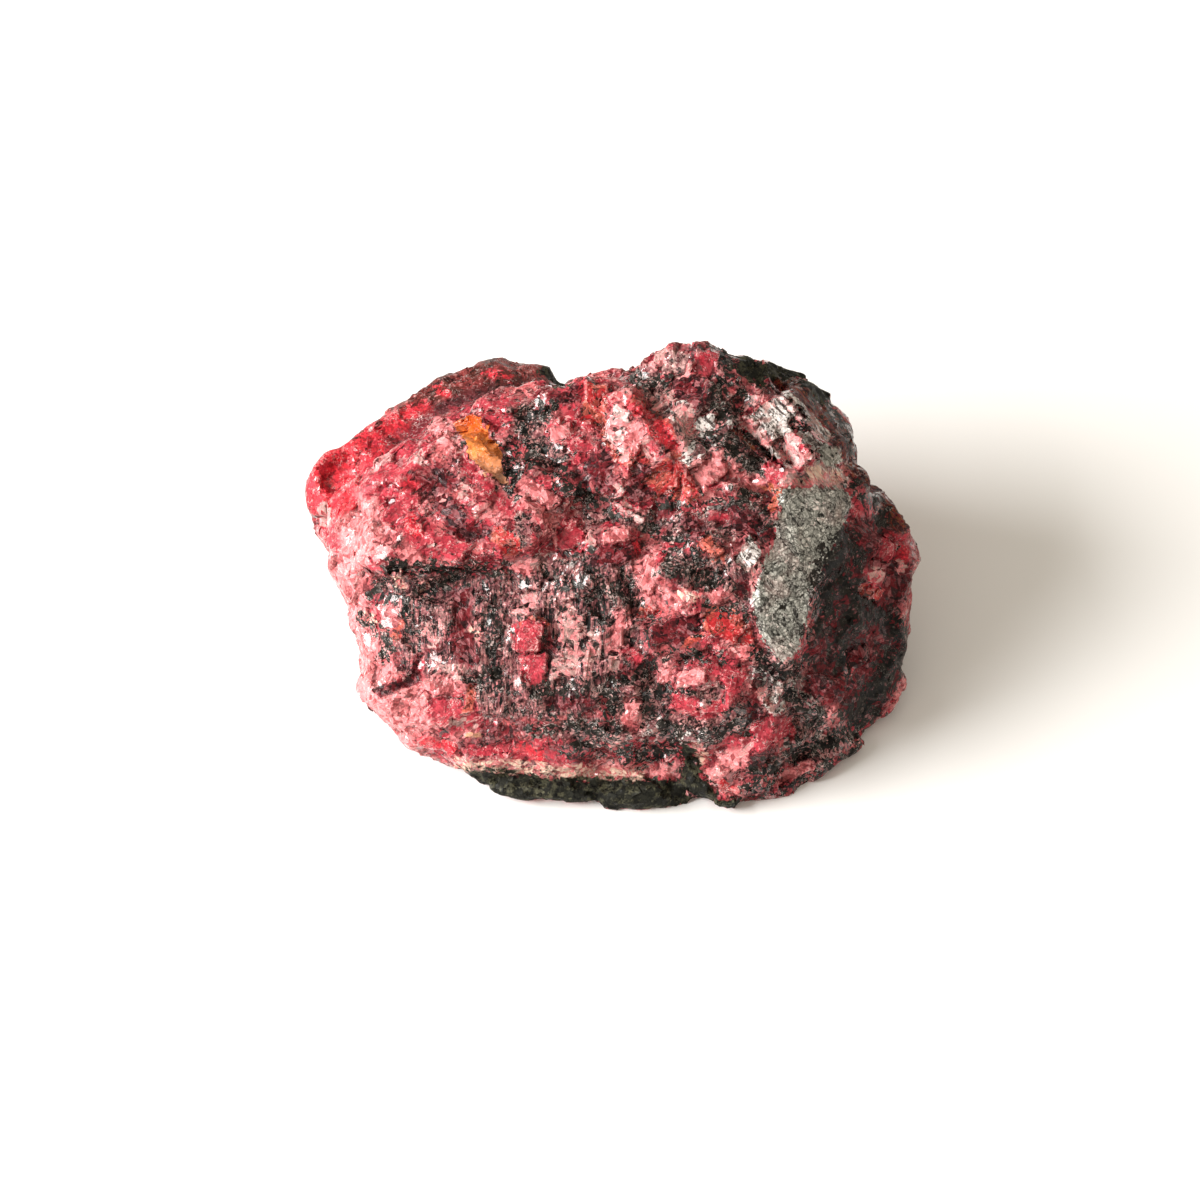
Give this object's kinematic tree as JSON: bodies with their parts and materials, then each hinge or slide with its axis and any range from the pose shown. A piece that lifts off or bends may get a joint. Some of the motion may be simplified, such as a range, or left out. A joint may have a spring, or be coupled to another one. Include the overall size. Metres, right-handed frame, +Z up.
{
  "type": "rough rhodonite stone",
  "caption": "Rough broken lump of rose-pink rhodonite with black veins, flat cleavage faces and ledges, lying on a flat underside.",
  "frame": {"origin": "on the ground under the middle of the stone's length and depth, as it rests", "axes": "+X along the stone's longest extent, to the right as seen from the show face; +Y towards its back; +Z up, out of the surface it rests on"},
  "size_m": [0.039, 0.0282, 0.0198],
  "materials": {
    "rhodonite": "broken, granular, with small glossy cleavage faces and dull black oxide"
  },
  "bodies": {
    "root": {"rough_rhodonite": "rhodonite"}
  },
  "joints": []
}
